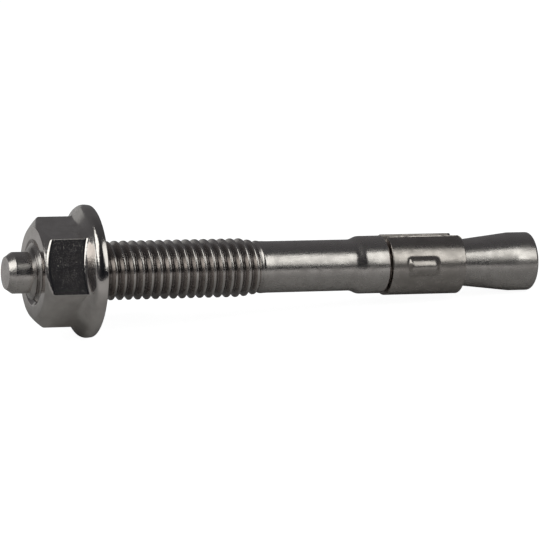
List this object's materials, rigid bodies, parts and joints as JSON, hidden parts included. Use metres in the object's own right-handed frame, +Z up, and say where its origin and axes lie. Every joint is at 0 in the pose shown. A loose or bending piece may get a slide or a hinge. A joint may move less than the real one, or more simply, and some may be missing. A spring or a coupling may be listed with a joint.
{
  "type": "wedge anchor",
  "caption": "Expansion anchor: a stud threaded at its outer end and coned at its inner end, a split clip rolled round its neck, and a hexagon nut with a flange.",
  "frame": {"origin": "on the ground under the middle of the anchor as it lies at rest, on the rim of the nut's flange and the end of its cone", "axes": "+Z up; +X along the ground from the nut to the cone, so the anchor's axis runs towards +X and 4.3 degrees down; +Y completes the frame"},
  "size_m": [0.0752, 0.0176, 0.0177],
  "materials": {
    "bolt_steel": "cold formed stainless steel, satin",
    "clip_steel": "rolled stainless strip, satin",
    "nut_steel": "cold formed stainless steel, polished"
  },
  "bodies": {
    "bolt": {"anchor_bolt": "bolt_steel"},
    "clip": {"expansion_clip": "clip_steel"},
    "nut": {"flange_nut": "nut_steel"}
  },
  "joints": [
    {"name": "turn_on_bolt", "type": "hinge", "parent": "bolt", "child": "clip", "pos_m": [0.02109, 0, 0.00519], "axis": [0.9971, 0, -0.0758], "range_deg": [-2161, 5761]},
    {"name": "nut_travel", "type": "slide", "parent": "clip", "child": "nut", "axis": [0.9971, 0, -0.0758], "range_m": [-0.0075, 0.02]}
  ],
  "couplings": [
    {"joint": "turn_on_bolt", "follows": "nut_travel", "rad_per_m": 5026.5}
  ]
}
